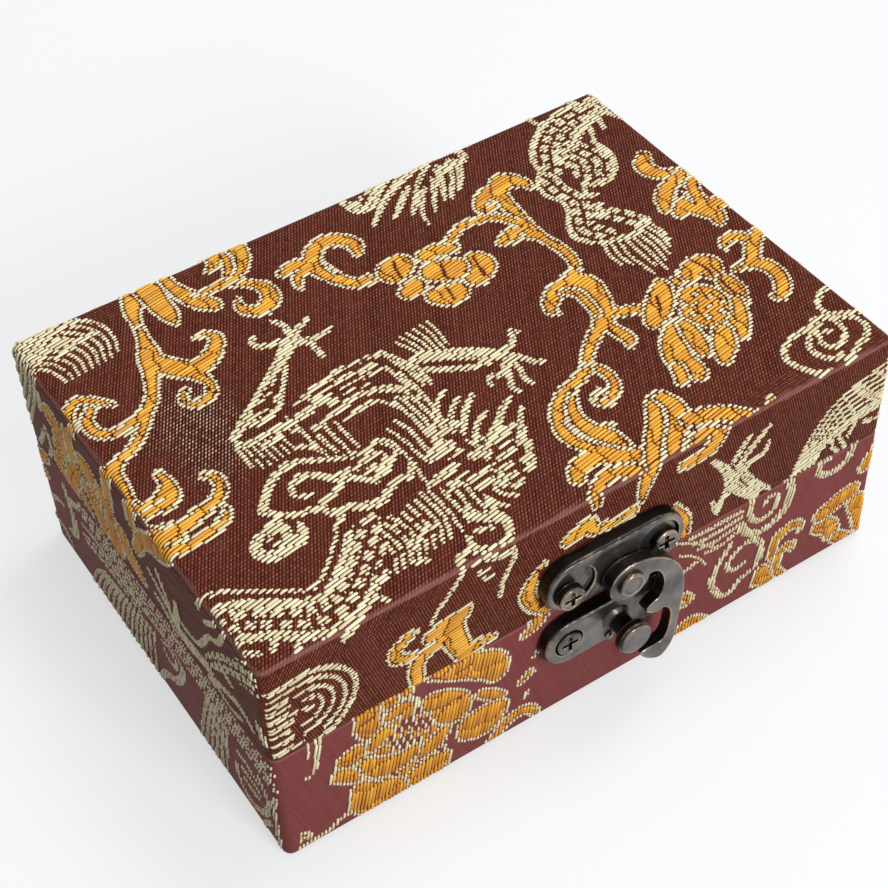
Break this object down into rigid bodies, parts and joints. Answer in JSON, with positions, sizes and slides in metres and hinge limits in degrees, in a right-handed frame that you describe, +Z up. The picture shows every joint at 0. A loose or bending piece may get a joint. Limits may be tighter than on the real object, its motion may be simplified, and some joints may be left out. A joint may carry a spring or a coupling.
{
  "type": "brocade box",
  "caption": "Small rectangular keepsake box covered in maroon dragon brocade, with a hinged lid, a satin lining and a swinging bronze hook clasp.",
  "frame": {"origin": "middle of the underside, in the plane that the box rests on", "axes": "+X along the box to the right as seen from the front, +Y from the clasp to the hinges, +Z up"},
  "size_m": [0.1, 0.08, 0.04],
  "materials": {
    "brocade": "jacquard satin",
    "greyboard": "matte",
    "backing_paper": "matte",
    "satin": "satin",
    "antique_bronze": "antique",
    "dark_steel": "antique"
  },
  "bodies": {
    "base": {"base_floor_board": "greyboard", "base_front_board": "greyboard", "base_back_board": "greyboard", "base_left_board": "greyboard", "base_right_board": "greyboard", "base_brocade_cover": "brocade", "base_underside_sheet": "backing_paper", "base_floor_pad": "satin", "base_front_lining": "satin", "base_back_lining": "satin", "base_left_lining": "satin", "base_right_lining": "satin", "clasp_lower_plate": "antique_bronze", "clasp_lower_screws": "dark_steel", "clasp_stud": "antique_bronze", "clasp_anchor_nail": "dark_steel", "left_hinge_base_leaf": "antique_bronze", "right_hinge_base_leaf": "antique_bronze", "left_hinge_pin": "dark_steel", "right_hinge_pin": "dark_steel", "hinge_base_screws": "dark_steel"},
    "lid": {"lid_top_board": "greyboard", "lid_front_board": "greyboard", "lid_back_board": "greyboard", "lid_left_board": "greyboard", "lid_right_board": "greyboard", "lid_brocade_cover": "brocade", "lid_pad": "satin", "lid_front_lining": "satin", "lid_back_lining": "satin", "lid_left_lining": "satin", "lid_right_lining": "satin", "clasp_upper_plate": "antique_bronze", "clasp_upper_screws": "dark_steel", "clasp_pivot_rivet": "antique_bronze", "left_hinge_lid_leaf": "antique_bronze", "right_hinge_lid_leaf": "antique_bronze", "hinge_lid_screws": "dark_steel"},
    "hook_arm": {"clasp_hook_arm": "antique_bronze"}
  },
  "joints": [
    {"name": "lid_hinge", "type": "hinge", "parent": "base", "child": "lid", "pos_m": [0, 0.03665, 0.022], "axis": [-1, 0, 0], "range_deg": [0, 180]},
    {"name": "hook_swing", "type": "hinge", "parent": "lid", "child": "hook_arm", "pos_m": [0.0017, -0.038, 0.0263], "axis": [0, -1, 0], "range_deg": [-8, 155]}
  ]
}
